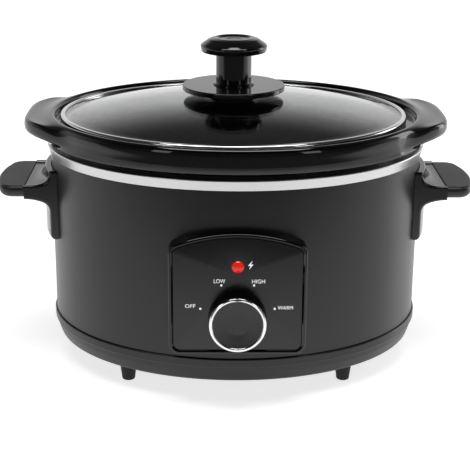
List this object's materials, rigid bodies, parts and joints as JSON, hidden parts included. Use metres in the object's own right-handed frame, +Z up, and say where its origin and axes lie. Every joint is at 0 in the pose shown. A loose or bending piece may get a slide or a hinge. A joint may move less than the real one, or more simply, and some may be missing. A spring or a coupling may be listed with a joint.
{
  "type": "slow cooker",
  "caption": "Oval countertop slow cooker: painted heated base with side handles and front dial, lift-out stoneware crock and knobbed glass lid.",
  "frame": {"origin": "centre of the footprint, on the surface the feet stand on", "axes": "+Z up, +X along the long way between the handles, -Y towards the control panel"},
  "size_m": [0.364, 0.2632, 0.2422],
  "materials": {
    "painted_shell": "satin powder coat",
    "brushed_band": "brushed along its length",
    "liner_metal": "mill finish",
    "base_moulding": "fine moulded texture",
    "foot_rubber": "matt",
    "plated_steel": "zinc plated",
    "handle_moulding": "satin gloss moulding",
    "grip_moulding": "fine moulded texture",
    "panel_gloss": "gloss moulding",
    "panel_matt": "matt with printed legends",
    "lens_red": "clear red moulding",
    "lamp_glass": "neon lamp",
    "switch_moulding": "moulded",
    "heater_foil": "rolled foil",
    "glass_fibre": "needled felt",
    "terminal_ceramic": "unglazed",
    "brass_fitting": "plain",
    "lead_sleeve": "braided sleeve",
    "glazed_stoneware": "gloss glaze",
    "lid_glass": "clear tempered",
    "rim_steel": "polished",
    "knob_phenolic": "polished moulding",
    "silicone": "matt",
    "dial_moulding": "satin gloss moulding",
    "dial_chrome": "bright plate"
  },
  "bodies": {
    "root": {"outer_shell": "painted_shell", "trim_band": "brushed_band", "heating_liner": "liner_metal", "base_ring": "base_moulding", "base_tray": "base_moulding", "foot_front_left": "foot_rubber", "foot_front_right": "foot_rubber", "foot_rear_left": "foot_rubber", "foot_rear_right": "foot_rubber", "tie_strap": "plated_steel", "tie_bolt": "plated_steel", "tie_washer": "plated_steel", "tie_nut": "plated_steel", "handle_left": "handle_moulding", "grip_left": "grip_moulding", "handle_right": "handle_moulding", "grip_right": "grip_moulding", "handle_screws": "plated_steel", "panel_bezel": "panel_gloss", "panel_face": "panel_matt", "indicator_lens": "lens_red", "indicator_lamp": "lamp_glass", "rotary_switch": "switch_moulding", "switch_nut": "plated_steel", "band_heater": "heater_foil", "heater_straps": "plated_steel", "insulation_wrap": "glass_fibre", "thermal_fuse": "plated_steel", "fuse_clip": "plated_steel", "terminal_block": "terminal_ceramic", "earth_screw": "brass_fitting", "cord_gland": "base_moulding", "lead_supply": "lead_sleeve", "lead_high": "lead_sleeve", "lead_low": "lead_sleeve", "lead_return": "lead_sleeve"},
    "crock": {"crock": "glazed_stoneware"},
    "lid": {"lid_glass": "lid_glass", "lid_rim": "rim_steel", "lid_knob": "knob_phenolic", "knob_disc": "knob_phenolic", "knob_washer": "silicone", "lid_boss": "knob_phenolic", "boss_washer": "silicone", "lid_screw": "plated_steel"},
    "dial": {"dial_knob": "dial_moulding", "dial_ring": "dial_chrome", "dial_cap": "dial_moulding", "switch_shaft": "plated_steel", "dial_pointer": "dial_moulding"}
  },
  "joints": [
    {"name": "crock_lift", "type": "slide", "parent": "root", "child": "crock", "axis": [0, 0, 1], "range_m": [0, 0.13]},
    {"name": "lid_lift", "type": "slide", "parent": "crock", "child": "lid", "axis": [0, 0, 1], "range_m": [0, 0.06]},
    {"name": "dial_turn", "type": "hinge", "parent": "root", "child": "dial", "pos_m": [0, -0.1173, 0.0663], "axis": [0, -1, 0], "range_deg": [-75, 75]}
  ]
}
